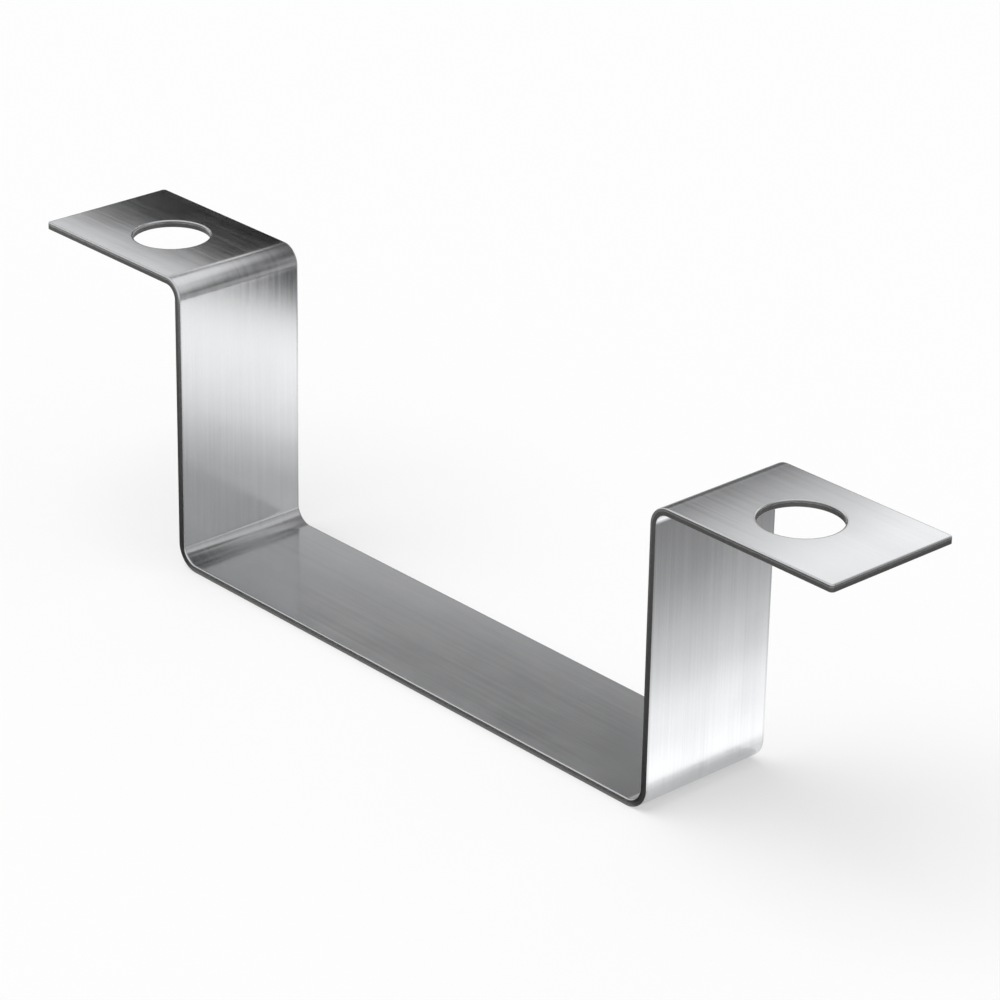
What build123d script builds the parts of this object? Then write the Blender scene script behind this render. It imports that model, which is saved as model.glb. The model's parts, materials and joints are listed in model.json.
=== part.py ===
from build123d import *
import os

# Mounting bracket that holds a flat rectangular duct up against a ceiling or joist.
#
# It is one strip of sheet steel, punched near both ends and folded four times into a hat
# section: a base that the duct rests on, two webs beside the duct, and two flanges that turn
# outwards at the top and take the screws.
#
# X runs along the strip, Y across it and Z up. The origin is the centre of the base's
# underside. Every size is in millimetres.

# Sheet that the bracket is cut from
strip_width = 25.0
sheet_thickness = 1.2

# Space for the duct: between the webs, and from the base's upper face to the flanges' upper faces
duct_space_width = 110.0
duct_space_depth = 50.0

# Each flange, from its web's duct side to its free end
flange_length = 36.0

# Radius on the inside of each fold
base_fold_radius = 3.0
flange_fold_radius = 2.2

# Screw holes, one in each flange, on the strip's centre line
hole_diameter = 13.0
hole_from_free_end = 18.0

# Free corners of the flanges, and the small round that every cut edge has
corner_radius = 0.6
edge_round = 0.15

# Places worked out from the sizes above
base_top = sheet_thickness
flange_top = base_top + duct_space_depth
web_face_x = duct_space_width / 2
free_end_x = web_face_x + flange_length
hole_x = free_end_x - hole_from_free_end

# The screw holes' cutters run past both faces of the flanges
hole_cutter_height = 4 * sheet_thickness


def hat_line(depth):
    """The hat's outline in X and Z, from end to end, at one depth through the sheet.

    Depth 0 is the side that faces the duct. It is the outside of the flange folds and the
    inside of the base folds. Every fold is concentric through the sheet.
    """
    web_x = web_face_x + depth
    flange_z = flange_top - depth
    base_z = base_top - depth
    flange_radius = flange_fold_radius + sheet_thickness - depth
    base_radius = base_fold_radius + depth
    return FilletPolyline(
        (-free_end_x, flange_z),
        (-web_x, flange_z),
        (-web_x, base_z),
        (web_x, base_z),
        (web_x, flange_z),
        (free_end_x, flange_z),
        radius=[flange_radius, base_radius, base_radius, flange_radius],
    )


def folded_strip():
    """The plain strip after folding: its section, as wide as the strip."""
    duct_side = hat_line(0)
    far_side = hat_line(sheet_thickness)
    left_end = Line(duct_side @ 0, far_side @ 0)
    right_end = Line(duct_side @ 1, far_side @ 1)
    section = make_face([*duct_side.edges(), *far_side.edges(), left_end, right_end])
    return extrude(Plane.XZ * section, strip_width / 2, both=True)


def free_corner_edges(strip):
    """The four edges through the sheet at the flanges' free corners."""
    upright_by_x = strip.edges().filter_by(Axis.Z).group_by(Axis.X)
    return upright_by_x[0] + upright_by_x[-1]


def screw_hole_cutters():
    """Two upright cylinders, one through the middle of each flange's width."""
    places = Locations((-hole_x, 0, flange_top), (hole_x, 0, flange_top))
    return [place * Cylinder(hole_diameter / 2, hole_cutter_height) for place in places]


def cut_edges(strip):
    """Every edge between a face of the sheet and a sheared or punched surface."""
    through_sheet = strip.edges().filter_by(Axis.Z).group_by(SortBy.LENGTH)[0]
    fold_lines = strip.edges().filter_by(Axis.Y).filter_by_position(Axis.X, -hole_x, hole_x)
    return strip.edges() - through_sheet - fold_lines


def bracket():
    """The finished bracket."""
    strip = folded_strip()
    strip = fillet(free_corner_edges(strip), corner_radius)
    strip = strip - screw_hole_cutters()
    return fillet(cut_edges(strip), edge_round)


os.makedirs("parts", exist_ok=True)
export_step(bracket(), "parts/bracket.step")
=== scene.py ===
import json
import math

import bpy
from mathutils import Matrix, Vector


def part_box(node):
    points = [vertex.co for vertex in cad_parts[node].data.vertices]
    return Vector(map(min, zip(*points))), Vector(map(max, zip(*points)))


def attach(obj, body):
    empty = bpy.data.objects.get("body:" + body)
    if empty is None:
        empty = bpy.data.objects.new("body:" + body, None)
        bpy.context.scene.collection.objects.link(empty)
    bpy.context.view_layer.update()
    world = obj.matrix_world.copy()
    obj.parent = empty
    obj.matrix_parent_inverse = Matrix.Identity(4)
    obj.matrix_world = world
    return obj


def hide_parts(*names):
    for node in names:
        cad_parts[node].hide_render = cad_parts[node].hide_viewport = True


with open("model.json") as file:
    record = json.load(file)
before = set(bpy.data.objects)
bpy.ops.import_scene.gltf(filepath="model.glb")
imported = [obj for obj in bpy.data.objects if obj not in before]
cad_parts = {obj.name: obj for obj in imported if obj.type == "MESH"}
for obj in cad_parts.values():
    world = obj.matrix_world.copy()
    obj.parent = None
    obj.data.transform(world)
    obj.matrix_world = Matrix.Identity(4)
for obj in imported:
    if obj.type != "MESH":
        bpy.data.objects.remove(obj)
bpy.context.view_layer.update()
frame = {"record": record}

# A folded strip of zinc-plated sheet steel that holds a flat duct up against a ceiling.
#
# The strip is made as its maker makes it: a flat blank is sheared and punched, and then folded
# four times. Lengths are in metres. The finish and the cards are laid out in millimetres, and so
# is each value whose name says so.

MM = 0.001
MICRON = 0.000001

# Sizes of the sheet, read from the frame
LOW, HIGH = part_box("bracket")
MOUNTS = {mount["name"]: mount for mount in frame["record"]["mounts"]}
HOLES = MOUNTS["screw_holes"]["dims"]
STRIP_WIDTH = HIGH.y - LOW.y
SHEET = MOUNTS["duct_seat"]["pos_m"][2]
HOLE_RADIUS = HOLES["hole_r_mm"] * MM
HOLE_FROM_END = (HIGH.x - LOW.x - HOLES["spacing_x_mm"] * MM) / 2

# The hat that the strip is folded into. The duct side of the sheet is the outside of the flange
# folds and the inside of the base folds.
DUCT_WIDTH = 110 * MM
DUCT_DEPTH = HIGH.z - SHEET
FLANGE = (HIGH.x - LOW.x - DUCT_WIDTH) / 2
BASE_FOLD_INSIDE = 3.0 * MM
FLANGE_FOLD_INSIDE = 2.2 * MM
CORNER = 0.6 * MM

# The folds turn about the middle of the sheet, and the blank is measured along that line
QUARTER = math.pi / 2
BASE_FOLD = (BASE_FOLD_INSIDE + SHEET / 2) * QUARTER
FLANGE_FOLD = (FLANGE_FOLD_INSIDE + SHEET / 2) * QUARTER
FLANGE_FLAT = FLANGE - FLANGE_FOLD_INSIDE - SHEET
WEB_FLAT = DUCT_DEPTH - FLANGE_FOLD_INSIDE - SHEET - BASE_FOLD_INSIDE
BASE_FLAT = DUCT_WIDTH - 2 * BASE_FOLD_INSIDE

# Each run of the blank from its left end: its length, its turn, and its divisions in the mesh
FLANGE_DIVISIONS = 26
RUNS = [
    (FLANGE_FLAT, 0, FLANGE_DIVISIONS),
    (FLANGE_FOLD, -QUARTER, 18),
    (WEB_FLAT, 0, 30),
    (BASE_FOLD, QUARTER, 22),
    (BASE_FLAT, 0, 64),
    (BASE_FOLD, QUARTER, 22),
    (WEB_FLAT, 0, 30),
    (FLANGE_FOLD, -QUARTER, 18),
    (FLANGE_FLAT, 0, FLANGE_DIVISIONS),
]
BLANK = sum(length for length, _, _ in RUNS)

# Divisions across the strip, round a free corner, and between a hole and its flange's edges,
# where the rings of faces crowd towards the hole by a power
ACROSS = 24
CORNER_DIVISIONS = 6
HOLE_RINGS = 9
RING_CROWDING = 1.4

# A sheared edge: the blade rolls the duct side over and leaves the far side nearly sharp
ROLL_OVER_WIDTH = 0.28 * MM
ROLL_OVER_DEPTH = 0.14 * MM
FAR_SIDE_ROUND = 0.06 * MM
ROLL_OVER_STEPS = 6
CUT_STEPS = 4
FAR_SIDE_STEPS = 3


def edge_profile():
    """The section of a sheared edge, from the duct side through the sheet to the far side.

    Each step has its inset from the outline, its depth, and its normal outward and in depth.
    """
    steps = []
    for k in range(ROLL_OVER_STEPS + 1):
        turn = QUARTER * k / ROLL_OVER_STEPS
        inset = ROLL_OVER_WIDTH * (1 - math.sin(turn))
        depth = ROLL_OVER_DEPTH * (1 - math.cos(turn))
        slope = Vector((ROLL_OVER_DEPTH * math.sin(turn), -ROLL_OVER_WIDTH * math.cos(turn)))
        steps.append((inset, depth, slope.normalized()))
    straight = SHEET - ROLL_OVER_DEPTH - FAR_SIDE_ROUND
    for k in range(1, CUT_STEPS):
        steps.append((0, ROLL_OVER_DEPTH + straight * k / CUT_STEPS, Vector((1, 0))))
    for k in range(FAR_SIDE_STEPS + 1):
        turn = QUARTER * k / FAR_SIDE_STEPS
        inset = FAR_SIDE_ROUND * (1 - math.cos(turn))
        depth = SHEET - FAR_SIDE_ROUND * (1 - math.sin(turn))
        steps.append((inset, depth, Vector((math.cos(turn), math.sin(turn)))))
    return steps


def stations():
    """Where the blank is divided along its length, between the rounds of its free corners."""
    found = [CORNER]
    start = 0
    for length, _, divisions in RUNS:
        first = max(start, CORNER)
        last = min(start + length, BLANK - CORNER)
        found += [first + (last - first) * k / divisions for k in range(1, divisions + 1)]
        start += length
    return found


STATIONS = stations()
FLANGE_STATIONS = STATIONS[1 : FLANGE_DIVISIONS + 1]


def free_end(inset):
    """The blank's left end as (along, across, outward), from its upper side to its lower side."""
    half = STRIP_WIDTH / 2 - CORNER
    radius = CORNER - inset
    rounds = []
    for centre, start in ((half, QUARTER), (-half, 2 * QUARTER)):
        for k in range(CORNER_DIVISIONS + 1):
            turn = start + QUARTER * k / CORNER_DIVISIONS
            outward = Vector((math.cos(turn), math.sin(turn)))
            rounds.append((CORNER + radius * outward.x, centre + radius * outward.y, outward))
    end = [(inset, half * (1 - 2 * k / ACROSS), Vector((-1, 0))) for k in range(1, ACROSS)]
    first_round = CORNER_DIVISIONS + 1
    return rounds[:first_round] + end + rounds[first_round:]


def mirrored(line):
    """The same line on the right half of the blank, with the sheet still on the same hand."""
    return [(BLANK - along, across, Vector((-out.x, out.y))) for along, across, out in line[::-1]]


def outline(inset):
    """The blank's outline, this far inside its edge, with the sheet on the left."""
    side = STRIP_WIDTH / 2 - inset
    lower = [(along, -side, Vector((0, -1))) for along in STATIONS[1:-1]]
    upper = [(along, side, Vector((0, 1))) for along in STATIONS[-2:0:-1]]
    left = free_end(inset)
    return lower + mirrored(left) + upper + left


def flange_outline(inset):
    """The flat part of the left flange, this far inside its sheared edges, anticlockwise."""
    side = STRIP_WIDTH / 2 - inset
    lower = [(along, -side) for along in FLANGE_STATIONS]
    fold_line = [(FLANGE_FLAT, side * (2 * k / ACROSS - 1)) for k in range(1, ACROSS)]
    upper = [(along, side) for along in FLANGE_STATIONS[::-1]]
    end = [(along, across) for along, across, _ in free_end(inset)]
    return lower + fold_line + upper + end


def left_hole(inset):
    """The left hole's rim, this far into the sheet, with a point facing each outline point."""
    centre = Vector((HOLE_FROM_END, 0))
    line = []
    for place in flange_outline(ROLL_OVER_WIDTH):
        inward = (centre - Vector(place)).normalized()
        at = centre - inward * (HOLE_RADIUS + inset)
        line.append((at.x, at.y, inward))
    return line[::-1]


def right_hole(inset):
    """The right hole's rim, which mirrors the left one."""
    return mirrored(left_hole(inset))


# Places that agree to this many decimals of a metre are one point of the skin
PLACE_DECIMALS = 8


class Skin:
    """The surface of the flat blank: its points, and its faces by the part that they lie on."""

    def __init__(self):
        self.found = {}
        self.places = []
        self.normals = []
        self.unrolled = {}
        self.faces = []

    def point(self, along, across, depth, normal):
        """The point at this place in the blank, which is added if it isn't there yet."""
        key = tuple(round(length, PLACE_DECIMALS) for length in (along, across, depth))
        if key not in self.found:
            self.found[key] = len(self.places)
            self.places.append(Vector((along, across, depth)))
            self.normals.append(Vector(normal))
        return self.found[key]

    def face(self, corners, part):
        """A face, without the corners that fall together where the outline tightens."""
        distinct = list(dict.fromkeys(corners))
        if len(distinct) > 2:
            self.faces.append((distinct, part))


def lay_side(skin, part, depth, inset):
    """One side of the sheet: the run between the flanges, and each flange round its hole."""
    faces_duct = part == "duct side"
    normal = (0, 0, -1 if faces_duct else 1)

    def lay(quad, mirror=False):
        """A face, whose corners are taken in the order that makes it look outward."""
        skin.face(quad[::-1] if faces_duct != mirror else quad, part)

    side = STRIP_WIDTH / 2 - inset
    columns = [side * (2 * k / ACROSS - 1) for k in range(ACROSS + 1)]
    between = STATIONS[FLANGE_DIVISIONS:-FLANGE_DIVISIONS]
    rows = [[skin.point(along, across, depth, normal) for across in columns] for along in between]
    for row, following in zip(rows, rows[1:]):
        for k in range(ACROSS):
            lay([row[k], row[k + 1], following[k + 1], following[k]])

    outer = [Vector(place) for place in flange_outline(inset)]
    hole = [Vector((along, across)) for along, across, _ in left_hole(inset)[::-1]]
    for mirror in (False, True):
        rings = []
        for step in range(HOLE_RINGS + 1):
            ring = []
            for near, far in zip(hole, outer):
                at = near.lerp(far, (step / HOLE_RINGS) ** RING_CROWDING)
                along = BLANK - at.x if mirror else at.x
                ring.append(skin.point(along, at.y, depth, normal))
            rings.append(ring)
        for ring, wider in zip(rings, rings[1:]):
            for k in range(len(ring)):
                lay([ring[k - 1], ring[k], wider[k], wider[k - 1]], mirror)


def lay_cut_edge(skin, line_at):
    """A sheared or punched edge, along the line that line_at gives for each inset.

    The edge is also unrolled outward from the duct side, for the map of the finish.
    """
    rows = []
    reach = 0
    previous = None
    for inset, depth, (out, down) in edge_profile():
        if previous:
            reach += math.hypot(inset - previous[0], depth - previous[1])
        previous = (inset, depth)
        row = []
        for (along, across, outward), start in zip(line_at(inset), line_at(ROLL_OVER_WIDTH)):
            normal = (outward.x * out, outward.y * out, down)
            place = skin.point(along, across, depth, normal)
            skin.unrolled[place] = Vector(start[:2]) + outward * reach
            row.append(place)
        rows.append(row)
    for row, following in zip(rows, rows[1:]):
        for k in range(len(row)):
            skin.face([row[k - 1], following[k - 1], following[k], row[k]], "cut edge")


def fold_up(place, normal):
    """Where a point of the flat blank lies after folding, and its normal there."""
    remaining, across, depth = place
    x, z, heading = LOW.x, HIGH.z - SHEET / 2, 0.0
    for length, turn, _ in RUNS:
        step = min(remaining, length)
        if turn:
            radius = length / turn
            ahead = heading + step / radius
            x += radius * (math.sin(ahead) - math.sin(heading))
            z -= radius * (math.cos(ahead) - math.cos(heading))
            heading = ahead
        else:
            x += step * math.cos(heading)
            z += step * math.sin(heading)
        remaining -= step
        if remaining <= 0:
            break
    forward = Vector((math.cos(heading), 0, math.sin(heading)))
    to_duct = Vector((-forward.z, 0, forward.x))
    at = Vector((x, across, z)) + to_duct * (SHEET / 2 - depth)
    return at, forward * normal.x + Vector((0, normal.y, 0)) - to_duct * normal.z


# The map that the finish is baked on has four rows, each for one half of one side of the blank.
# The cut edges are unrolled outward from the duct side, into the gaps round it and its holes.
MAP_ROWS = {"duct side": 0, "cut edge": 0, "far side": 2}
MAP_GAP = 2.2 * MM
MAP_SIDE = BLANK / 2 + 2 * MAP_GAP


def place_on_map(along, across, part, half):
    """Where a point of the unrolled skin lies on the map, which is 1 wide and 1 high.

    Half 0 is the left half of the blank, and half 1 is the right half.
    """
    row = MAP_ROWS[part] + half
    u = along - half * BLANK / 2 + MAP_GAP
    v = across + STRIP_WIDTH / 2 + MAP_GAP + row * (STRIP_WIDTH + 2 * MAP_GAP)
    return u / MAP_SIDE, v / MAP_SIDE


def add_object(name, data):
    """A new object in the scene, for this mesh, camera or light."""
    made = bpy.data.objects.new(name, data)
    bpy.context.scene.collection.objects.link(made)
    return made


def folded_strip():
    """The bracket: the blank's skin, folded, with its normals and its places in the blank."""
    skin = Skin()
    lay_side(skin, "duct side", 0, ROLL_OVER_WIDTH)
    lay_side(skin, "far side", SHEET, FAR_SIDE_ROUND)
    for line_at in (outline, left_hole, right_hole):
        lay_cut_edge(skin, line_at)

    folded = [fold_up(place, normal) for place, normal in zip(skin.places, skin.normals)]
    mesh = bpy.data.meshes.new("folded_strip")
    mesh.from_pydata([at for at, _ in folded], [], [corners for corners, _ in skin.faces])

    blank_mm = mesh.attributes.new("blank_mm", "FLOAT_VECTOR", "POINT")
    blank_mm.data.foreach_set("vector", [x / MM for place in skin.places for x in place])

    bake_map = mesh.uv_layers.new(name="OFBake")
    loop = 0
    for corners, part in skin.faces:
        half = int(sum(skin.places[k].x for k in corners) > len(corners) * BLANK / 2)
        for k in corners:
            along, across = skin.unrolled[k] if part == "cut edge" else skin.places[k][:2]
            bake_map.uv[loop].vector = place_on_map(along, across, part, half)
            loop += 1

    mesh.shade_smooth()
    mesh.normals_split_custom_set_from_vertices([normal for _, normal in folded])
    return add_object("folded_strip", mesh)


class Value:
    """A number that varies over a surface. Python's sums on it become Math nodes."""

    def __init__(self, bench, socket):
        self.bench = bench
        self.socket = socket

    def maths(self, operation, *terms):
        """What a Math node makes of these terms."""
        return self.bench.node("ShaderNodeMath", {"operation": operation}, dict(enumerate(terms)))

    def __add__(self, other):
        return self.maths("ADD", self, other)

    def __sub__(self, other):
        return self.maths("SUBTRACT", self, other)

    def __rsub__(self, other):
        return self.maths("SUBTRACT", other, self)

    def __mul__(self, other):
        return self.maths("MULTIPLY", self, other)

    def __truediv__(self, other):
        return self.maths("DIVIDE", self, other)

    def __abs__(self):
        return self.maths("ABSOLUTE", self)

    __radd__ = __add__
    __rmul__ = __mul__

    def at_least(self, other):
        return self.maths("MAXIMUM", self, other)

    def at_most(self, other):
        return self.maths("MINIMUM", self, other)

    def root(self):
        return self.maths("SQRT", self)


# A Mix node's sockets for numbers, vectors and colours share their names, so the ones for colours
# go by number: the two colours that it mixes, and what it gives
MIX_FIRST = 6
MIX_SECOND = 7
MIX_RESULT = 2


class Bench:
    """A node tree, and the ways in which nodes are put into it."""

    def __init__(self, tree):
        self.tree = tree
        tree.nodes.clear()

    def node(self, kind, settings, inputs, output=0):
        """A node: its settings are set first, and then its sockets by their names or numbers."""
        made = self.tree.nodes.new(kind)
        for name, setting in settings.items():
            if name == "stops":
                self.set_stops(made.color_ramp, setting)
            else:
                setattr(made, name, setting)
        for name, value in inputs.items():
            if isinstance(value, Value):
                self.tree.links.new(value.socket, made.inputs[name])
            else:
                made.inputs[name].default_value = value
        return Value(self, made.outputs[output]) if len(made.outputs) else None

    def set_stops(self, ramp, stops):
        """The ramp's stops as (place, grey), with smooth steps between them."""
        ramp.interpolation = "EASE"
        while len(ramp.elements) < len(stops):
            ramp.elements.new(1)
        for element, (place, grey) in zip(ramp.elements, stops):
            element.position = place
            element.color = (grey, grey, grey, 1)

    def parts(self, vector):
        """The three parts of a vector."""
        return [self.node("ShaderNodeSeparateXYZ", {}, {"Vector": vector}, part) for part in "XYZ"]

    def rise(self, value, start, end):
        """0 where the value is at start, 1 where it is at end, and a smooth step between."""
        settings = {"interpolation_type": "SMOOTHSTEP"}
        limits = {"Value": value, "From Min": start, "From Max": end}
        return self.node("ShaderNodeMapRange", settings, limits)

    def speckle(self, x, y, z, detail=1.0):
        """Noise from 0 to 1, with features about 1 across in the given coordinates."""
        place = self.node("ShaderNodeCombineXYZ", {}, {"X": x, "Y": y, "Z": z})
        inputs = {"Vector": place, "Scale": 1.0, "Detail": detail}
        return self.node("ShaderNodeTexNoise", {}, inputs)

    def mix(self, share, first, second):
        """A colour this share of the way from the first to the second."""
        inputs = {"Factor": share, MIX_FIRST: first, MIX_SECOND: second}
        return self.node("ShaderNodeMix", {"data_type": "RGBA"}, inputs, MIX_RESULT)

    def mix_shaders(self, share, first, second):
        """A shader this share of the way from the first to the second."""
        return self.node("ShaderNodeMixShader", {}, {0: share, 1: first, 2: second})


# The colours of the zinc and of the bare steel
ZINC_BRIGHT = (0.72, 0.727, 0.736, 1)
ZINC_DULL = (0.56, 0.567, 0.577, 1)
STEEL_SHEARED = (0.36, 0.358, 0.355, 1)
STEEL_TORN = (0.17, 0.168, 0.166, 1)

# The teeth along the line where torn steel begins
TEETH_PER_MM = 1.4

# How far the noise moves on in each millimetre of depth, so that the sheet's two sides differ
NOISE_PER_MM = 7.0

# Where the folds and holes lie, measured in millimetres from the middle of the blank
BLANK_HALF_MM = BLANK / 2 / MM
FLANGE_FOLD_MM = (BLANK / 2 - FLANGE_FLAT - FLANGE_FOLD / 2) / MM
BASE_FOLD_MM = (BASE_FLAT + BASE_FOLD) / 2 / MM
HOLE_MM = (BLANK / 2 - HOLE_FROM_END) / MM


def distance_to_cut(from_middle, across):
    """How far a place on the blank is from the nearest sheared edge or hole, in millimetres."""
    off_hole = from_middle - HOLE_MM
    to_hole = (off_hole * off_hole + across * across).root() - HOLE_RADIUS / MM
    to_side = STRIP_WIDTH / 2 / MM - abs(across)
    to_end = BLANK_HALF_MM - from_middle
    return to_side.at_most(to_end).at_most(to_hole)


def zinc_plated_sheet():
    """Satin zinc over rolled steel: rolling lines, strained folds and bare sheared edges."""
    material = bpy.data.materials.new("zinc_plated_sheet")
    material.use_nodes = True
    bench = Bench(material.node_tree)
    place = bench.node("ShaderNodeAttribute", {"attribute_name": "blank_mm"}, {}, "Vector")
    along, across, depth = bench.parts(place)
    from_middle = abs(along - BLANK_HALF_MM)
    noise_depth = depth * NOISE_PER_MM

    def marks(length, width, layer, detail=1.0):
        """Marks this long along the strip and this wide across it, in their own layer of noise."""
        return bench.speckle(along / length, across / width, noise_depth + layer, detail)

    def cut_marks(width, reach, detail=1.0):
        """Marks on the cut, this wide and reaching this far through the sheet."""
        return bench.speckle(along / width, across / width, depth / reach, detail)

    # The far side of the sheet, and the side of each fold that was stretched or pressed
    far_side = bench.rise(depth, start=0.4, end=0.8)
    flange_fold = bench.rise(abs(from_middle - FLANGE_FOLD_MM), start=3.0, end=1.6)
    base_fold = bench.rise(abs(from_middle - BASE_FOLD_MM), start=3.6, end=2.2)
    stretched = flange_fold * (1 - far_side) + base_fold * far_side
    pressed = flange_fold * far_side + base_fold * (1 - far_side)

    # Bare steel on the cut: sheared clean by the blade at first, and torn beyond
    ragged = cut_marks(width=1 / TEETH_PER_MM, reach=2.5, detail=2.0)
    bare = bench.rise(depth, start=0.10, end=0.19) * bench.rise(depth, start=1.17, end=1.12)
    torn = bench.rise(depth + ragged * 0.30, start=0.55, end=0.68) * bare
    drag = cut_marks(width=0.16, reach=1.6)
    grit = cut_marks(width=0.11, reach=0.11, detail=2.0)

    # Zinc on both sides: dull beside the cuts, with rolling lines along the strip, cloud in the
    # plating, the sheet's own slight waves, and creases across a stretched fold
    rim = bench.rise(distance_to_cut(from_middle, across), start=0.55, end=0.12)
    hairs = marks(length=26, width=0.26, layer=0.0)
    lines = marks(length=60, width=1.1, layer=3.1)
    bands = marks(length=160, width=4.2, layer=6.3)
    cloud = marks(length=9, width=7, layer=9.7, detail=3.0)
    peel = marks(length=4.0, width=1.4, layer=12.1)
    waves = marks(length=24, width=17, layer=15.3)
    creases = marks(length=0.45, width=2.6, layer=18.9)

    # The zinc's shade, from dull at 0 to bright at 1
    shade = 0.62 + (hairs - 0.5) * 0.45 + (lines - 0.5) * 0.40 + (bands - 0.5) * 0.30
    shade = shade + (cloud - 0.5) * 0.55 - stretched * creases * 0.20 - pressed * 0.12 - rim * 0.75
    zinc = bench.mix(shade.at_least(0.0).at_most(1.0), ZINC_DULL, ZINC_BRIGHT)
    steel = bench.mix(torn, STEEL_SHEARED, STEEL_TORN)
    colour = bench.mix(bare, zinc, steel)

    roughness = 0.17 + (hairs - 0.5) * 0.06 + (lines - 0.5) * 0.06 + (cloud - 0.5) * 0.08
    roughness = roughness + stretched * 0.07 + rim * 0.06 + bare * 0.12 + torn * 0.16

    # The relief is how high each mark stands, in microns
    zinc_relief = hairs * 1.6 + lines * 3.0 + peel * 1.6 + waves * 60 + stretched * creases * 1.2
    steel_relief = drag * 9.0 + torn * grit * 26
    relief = zinc_relief * (1 - bare) + steel_relief * bare
    bump = {"Height": relief, "Strength": 1.0, "Distance": MICRON}
    normal = bench.node("ShaderNodeBump", {}, bump)

    surface = bench.node(
        "ShaderNodeBsdfPrincipled",
        {},
        {"Base Color": colour, "Metallic": 1.0, "Roughness": roughness, "Normal": normal},
    )
    bench.node("ShaderNodeOutputMaterial", {}, {"Surface": surface})
    return material


# The camera looks down on the bracket from its near right
CAMERA_AZIMUTH = math.radians(47.39)
CAMERA_ELEVATION = math.radians(24.91)
CAMERA_ROLL = math.radians(1.06)
CAMERA_DISTANCE = 640.4 * MM
CAMERA_ASIDE = 6.806 * MM
CAMERA_ABOVE = 24.999 * MM
CAMERA_LENS_MM = 143.7
CAMERA_SENSOR_MM = 36.0
CAMERA_SEES_FROM = 10 * MM
CAMERA_SEES_TO = 100.0


def camera():
    """The camera, placed from the middle of the base's sheet."""
    sin_a, cos_a = math.sin(CAMERA_AZIMUTH), math.cos(CAMERA_AZIMUTH)
    sin_e, cos_e = math.sin(CAMERA_ELEVATION), math.cos(CAMERA_ELEVATION)
    back = Vector((sin_a * cos_e, -cos_a * cos_e, sin_e))
    level = Vector((cos_a, sin_a, 0))
    upright = back.cross(level)
    right = level * math.cos(CAMERA_ROLL) + upright * math.sin(CAMERA_ROLL)
    up = back.cross(right)
    at = right * CAMERA_ASIDE + up * CAMERA_ABOVE + back * CAMERA_DISTANCE
    at.z += SHEET / 2

    data = bpy.data.cameras.new("camera")
    data.lens = CAMERA_LENS_MM
    data.sensor_width = CAMERA_SENSOR_MM
    data.clip_start = CAMERA_SEES_FROM
    data.clip_end = CAMERA_SEES_TO
    made = add_object("camera", data)
    rows = [(right[k], up[k], back[k], at[k]) for k in range(3)]
    made.matrix_world = Matrix(rows + [(0, 0, 0, 1)])
    bpy.context.scene.camera = made


# The floor, which the camera and the metal see lifted by a share of plain white
FLOOR_REACH = 6.0
FLOOR_DROP = 0.02 * MM
FLOOR_WHITE = (0.96, 0.96, 0.96, 1)
FLOOR_LIFT = 0.35

# The light, in shares of the light in which a level face shows its colour as it is written
SURROUNDINGS_FILL = 0.62
SUN_SHARE = 0.40
SUN_HEIGHT = math.radians(66)
SUN_AZIMUTH = math.radians(-40)
SUN_SPREAD = math.radians(60)


def stage_plane(name, corners):
    """A flat piece of the stage, and the bench for its material."""
    mesh = bpy.data.meshes.new(name)
    mesh.from_pydata(corners, [], [list(range(len(corners)))])
    made = add_object(name, mesh)
    material = bpy.data.materials.new(name)
    material.use_nodes = True
    mesh.materials.append(material)
    return made, Bench(material.node_tree)


def seen_directly(bench):
    """1 for the camera's rays and for rays off the metal, which both see the background white."""
    camera_ray = bench.node("ShaderNodeLightPath", {}, {}, "Is Camera Ray")
    glossy_ray = bench.node("ShaderNodeLightPath", {}, {}, "Is Glossy Ray")
    return camera_ray.at_least(glossy_ray)


def floor():
    """A pale floor that looks white and keeps the bracket's shadow."""
    reach = FLOOR_REACH
    corners = [(-reach, -reach, 0), (reach, -reach, 0), (reach, reach, 0), (-reach, reach, 0)]
    made, bench = stage_plane("floor", corners)
    made.location.z = -FLOOR_DROP
    paint = bench.node("ShaderNodeBsdfDiffuse", {}, {"Color": FLOOR_WHITE})
    white = bench.node("ShaderNodeEmission", {}, {"Strength": 1.0})
    both = bench.mix_shaders(seen_directly(bench) * FLOOR_LIFT, paint, white)
    bench.node("ShaderNodeOutputMaterial", {}, {"Surface": both})


def surroundings():
    """Plain white surroundings, which give part of the light."""
    world = bpy.data.worlds.new("surroundings")
    world.use_nodes = True
    bpy.context.scene.world = world
    bench = Bench(world.node_tree)
    plain = (1, 1, 1, 1)
    fill = bench.node("ShaderNodeBackground", {}, {"Color": plain, "Strength": SURROUNDINGS_FILL})
    white = bench.node("ShaderNodeBackground", {}, {"Color": plain, "Strength": 1.0})
    both = bench.mix_shaders(seen_directly(bench), fill, white)
    bench.node("ShaderNodeOutputWorld", {}, {"Surface": both})


def soft_sun():
    """One broad soft light from above, which gives the rest of the light."""
    data = bpy.data.lights.new("soft_sun", "SUN")
    data.angle = SUN_SPREAD
    data.energy = math.pi * SUN_SHARE / math.sin(SUN_HEIGHT)
    made = add_object("soft_sun", data)
    towards = Vector((math.sin(SUN_AZIMUTH), -math.cos(SUN_AZIMUTH), math.tan(SUN_HEIGHT)))
    made.rotation_euler = towards.to_track_quat("Z", "Y").to_euler()
    made.visible_glossy = False


# What the metal reflects: cards that nothing else sees. The zinc sends back about this share of
# their light, and a card gives off this much light where its ramp is 1.
ZINC_REFLECTS = 0.65
CARD_STRENGTH = 1.5


def tone(grey):
    """The light of a card that the zinc shows as this grey, of 255."""
    # The curve by which a screen's greys stand for light
    light = ((grey / 255 + 0.055) / 1.055) ** 2.4
    return light / ZINC_REFLECTS


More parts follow.
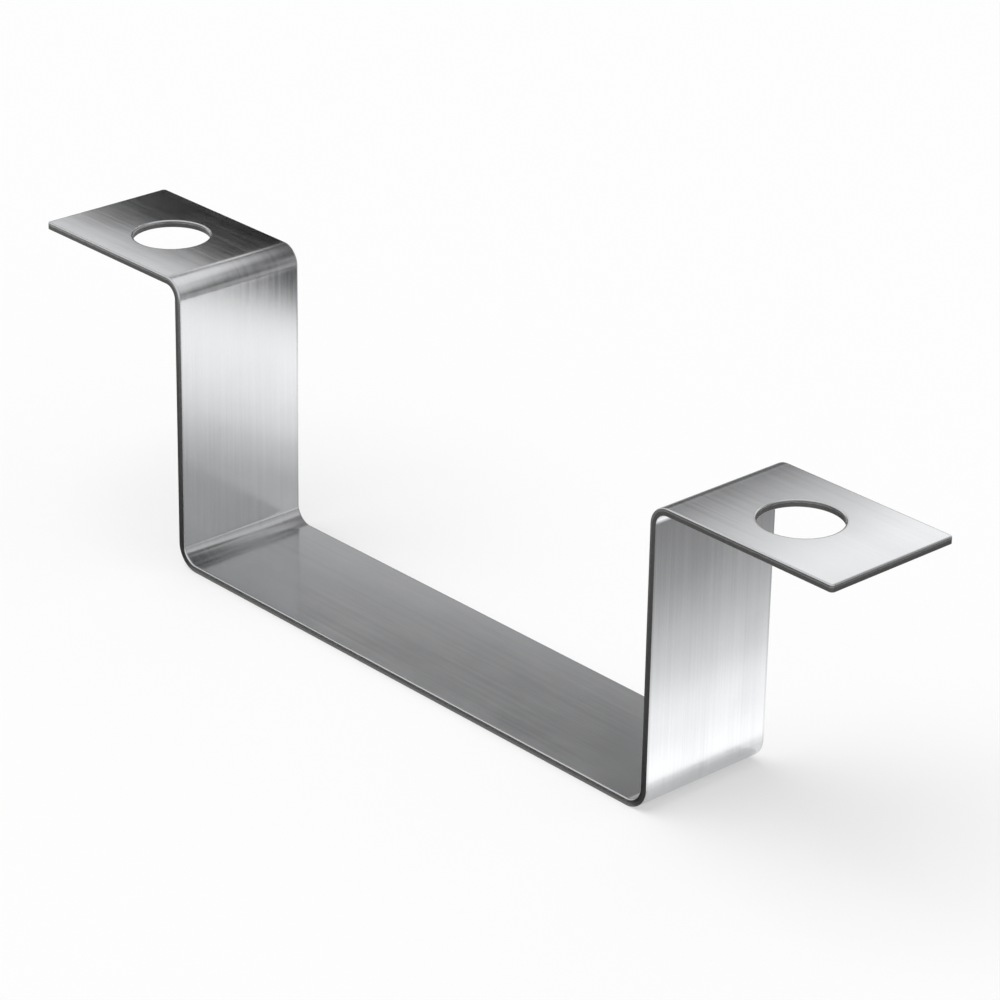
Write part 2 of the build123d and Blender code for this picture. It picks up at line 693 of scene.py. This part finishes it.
def card(name, corners_mm, slant, greys):
    """A card that only the metal sees.

    The reach of a place on it is the sum of its X, Y and Z in millimetres, each times the
    slant's. The card's greys are given as (reach, grey of 255).
    """
    made, bench = stage_plane(name, [[x * MM for x in corner] for corner in corners_mm])
    for ray in ("camera", "diffuse", "transmission", "volume_scatter", "shadow"):
        setattr(made, f"visible_{ray}", False)
    position = bench.node("ShaderNodeNewGeometry", {}, {}, "Position")
    dot_product = {"operation": "DOT_PRODUCT"}
    reach = bench.node("ShaderNodeVectorMath", dot_product, {0: position, 1: slant}, "Value") / MM
    first, last = greys[0][0], greys[-1][0]
    share = (reach - first) / (last - first)
    stops = [((at - first) / (last - first), tone(grey) / CARD_STRENGTH) for at, grey in greys]
    ramp = bench.node("ShaderNodeValToRGB", {"stops": stops}, {"Fac": share})
    light = bench.node("ShaderNodeEmission", {}, {"Color": ramp, "Strength": CARD_STRENGTH})
    bench.node("ShaderNodeOutputMaterial", {}, {"Surface": light})


def upright_card(name, x, y, z, slant, greys):
    """A card that stands behind the bracket, between two places in X and two in Z."""
    (left, right), (foot, top) = x, z
    card(name, [(left, y, foot), (right, y, foot), (right, y, top), (left, y, top)], slant, greys)


def flat_card(name, x, y, z, slant, greys):
    """A card that lies over the floor, between two places in X and two in Y."""
    (left, right), (near, far) = x, y
    card(name, [(left, near, z), (right, near, z), (right, far, z), (left, far, z)], slant, greys)


def cards():
    """The cards, each named for what shows it on the bracket, with their places in millimetres."""
    upright_card(
        "left_flange_card",
        x=(-280, -96),
        y=45,
        z=(51.6, 130),
        slant=(0, 0, 1),
        greys=[(62, 12), (74, 16), (82.5, 44), (87.5, 224), (94, 240), (104, 120)],
    )
    upright_card(
        "left_fold_card",
        x=(-96, -12),
        y=45,
        z=(51.6, 140),
        slant=(0, 0, 1),
        greys=[
            (52, 175), (60, 150), (72, 140), (79, 44),
            (96, 50), (106, 110), (114, 205), (124, 226),
        ],
    )
    upright_card(
        "right_flange_card",
        x=(-12, 130),
        y=45,
        z=(51.6, 120),
        slant=(1, 0, 1.5),
        greys=[(90, 70), (130, 86), (148, 182), (166, 238), (173, 232), (190, 165), (230, 140)],
    )
    upright_card(
        "base_card",
        x=(-180, 5),
        y=70,
        z=(20, 90),
        slant=(1, 0, 5.8),
        greys=[(80, 168), (121, 160), (297, 114), (340, 106)],
    )
    flat_card(
        "left_web_card",
        x=(-54, 300),
        y=(13, 260),
        z=0.4,
        slant=(0.171, 0.5, 0),
        greys=[
            (4, 164), (10, 184), (15, 212), (22, 228), (30, 242),
            (37, 236), (40, 206), (44, 48), (56, 64), (110, 150),
        ],
    )
    flat_card(
        "right_web_card",
        x=(62, 230),
        y=(-40, 92),
        z=0.5,
        slant=(1, 0, 0),
        greys=[(62, 255), (74, 238), (92, 194), (103, 164), (114, 136), (130, 116), (170, 106)],
    )
    flat_card(
        "edge_card",
        x=(-190, 190),
        y=(-160, -13),
        z=0.3,
        slant=(0, 1, 0),
        greys=[(-160, 150), (-85, 84), (-45, 76), (-13, 34)],
    )
    upright_card(
        "fold_card",
        x=(-600, 600),
        y=260,
        z=(0, 600),
        slant=(0, 0, 1),
        greys=[(0, 116), (60, 154), (110, 156), (180, 175), (600, 205)],
    )


bracket = folded_strip()
bracket.data.materials.append(zinc_plated_sheet())
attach(bracket, "root")
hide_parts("bracket")

camera()
floor()
surroundings()
soft_sun()
cards()
bpy.context.scene.view_settings.view_transform = "Standard"
